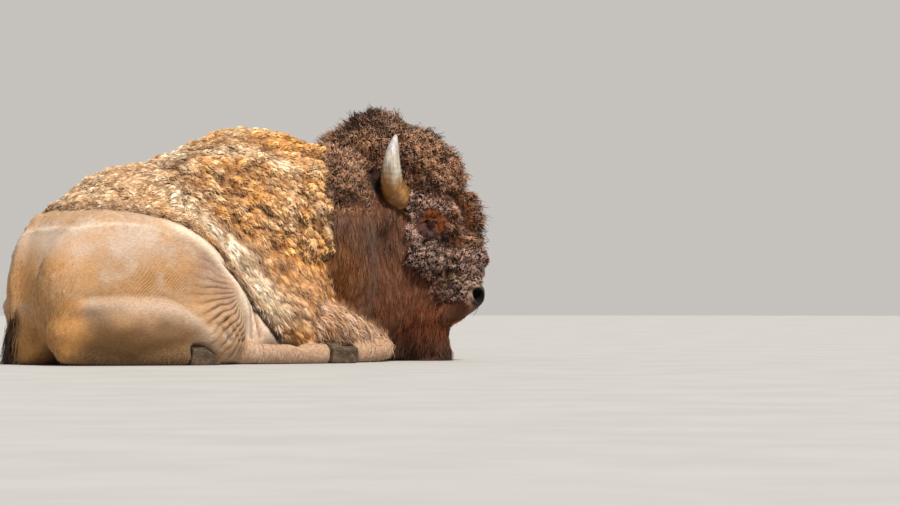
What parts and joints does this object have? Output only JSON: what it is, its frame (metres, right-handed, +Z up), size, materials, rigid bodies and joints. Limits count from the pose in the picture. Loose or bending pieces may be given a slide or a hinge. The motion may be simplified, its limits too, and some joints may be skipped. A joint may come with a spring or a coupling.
{
  "type": "bison",
  "caption": "Plains bison bull lying on its breastbone with folded legs, its shaggy horned head raised and turned to its right.",
  "frame": {"origin": "on the floor, below the middle of the whole animal's bounding box", "axes": "+X along the body towards the head, +Z up, the animal's right side on -Y; the head points to about 38 degrees right of +X"},
  "size_m": [1.9294, 0.9386, 0.9643],
  "materials": {
    "tan_wool": "matt woolly coat",
    "brown_mane": "matt shaggy hair",
    "horn": "worn horn",
    "eye": "wet"
  },
  "bodies": {
    "root": {"trunk": "tan_wool", "hump": "tan_wool", "rump": "tan_wool", "thigh_right": "tan_wool", "thigh_left": "tan_wool", "shank_hind_right": "tan_wool", "shoulder_right": "tan_wool", "shoulder_left": "tan_wool", "hind_cannon_right": "tan_wool", "hind_cannon_left": "tan_wool", "forearm_right": "tan_wool", "forearm_left": "tan_wool", "fore_cannon_right": "tan_wool", "fore_cannon_left": "tan_wool", "tail": "tan_wool", "neck": "brown_mane", "head": "brown_mane", "mop": "brown_mane", "beard": "brown_mane", "muzzle": "brown_mane", "ear_right": "brown_mane", "ear_left": "brown_mane", "tail_tuft": "brown_mane", "horn_right": "horn", "horn_left": "horn", "hind_hoof_right": "horn", "hind_hoof_left": "horn", "fore_hoof_right": "horn", "fore_hoof_left": "horn", "eye_right": "eye", "eye_left": "eye"}
  },
  "joints": []
}
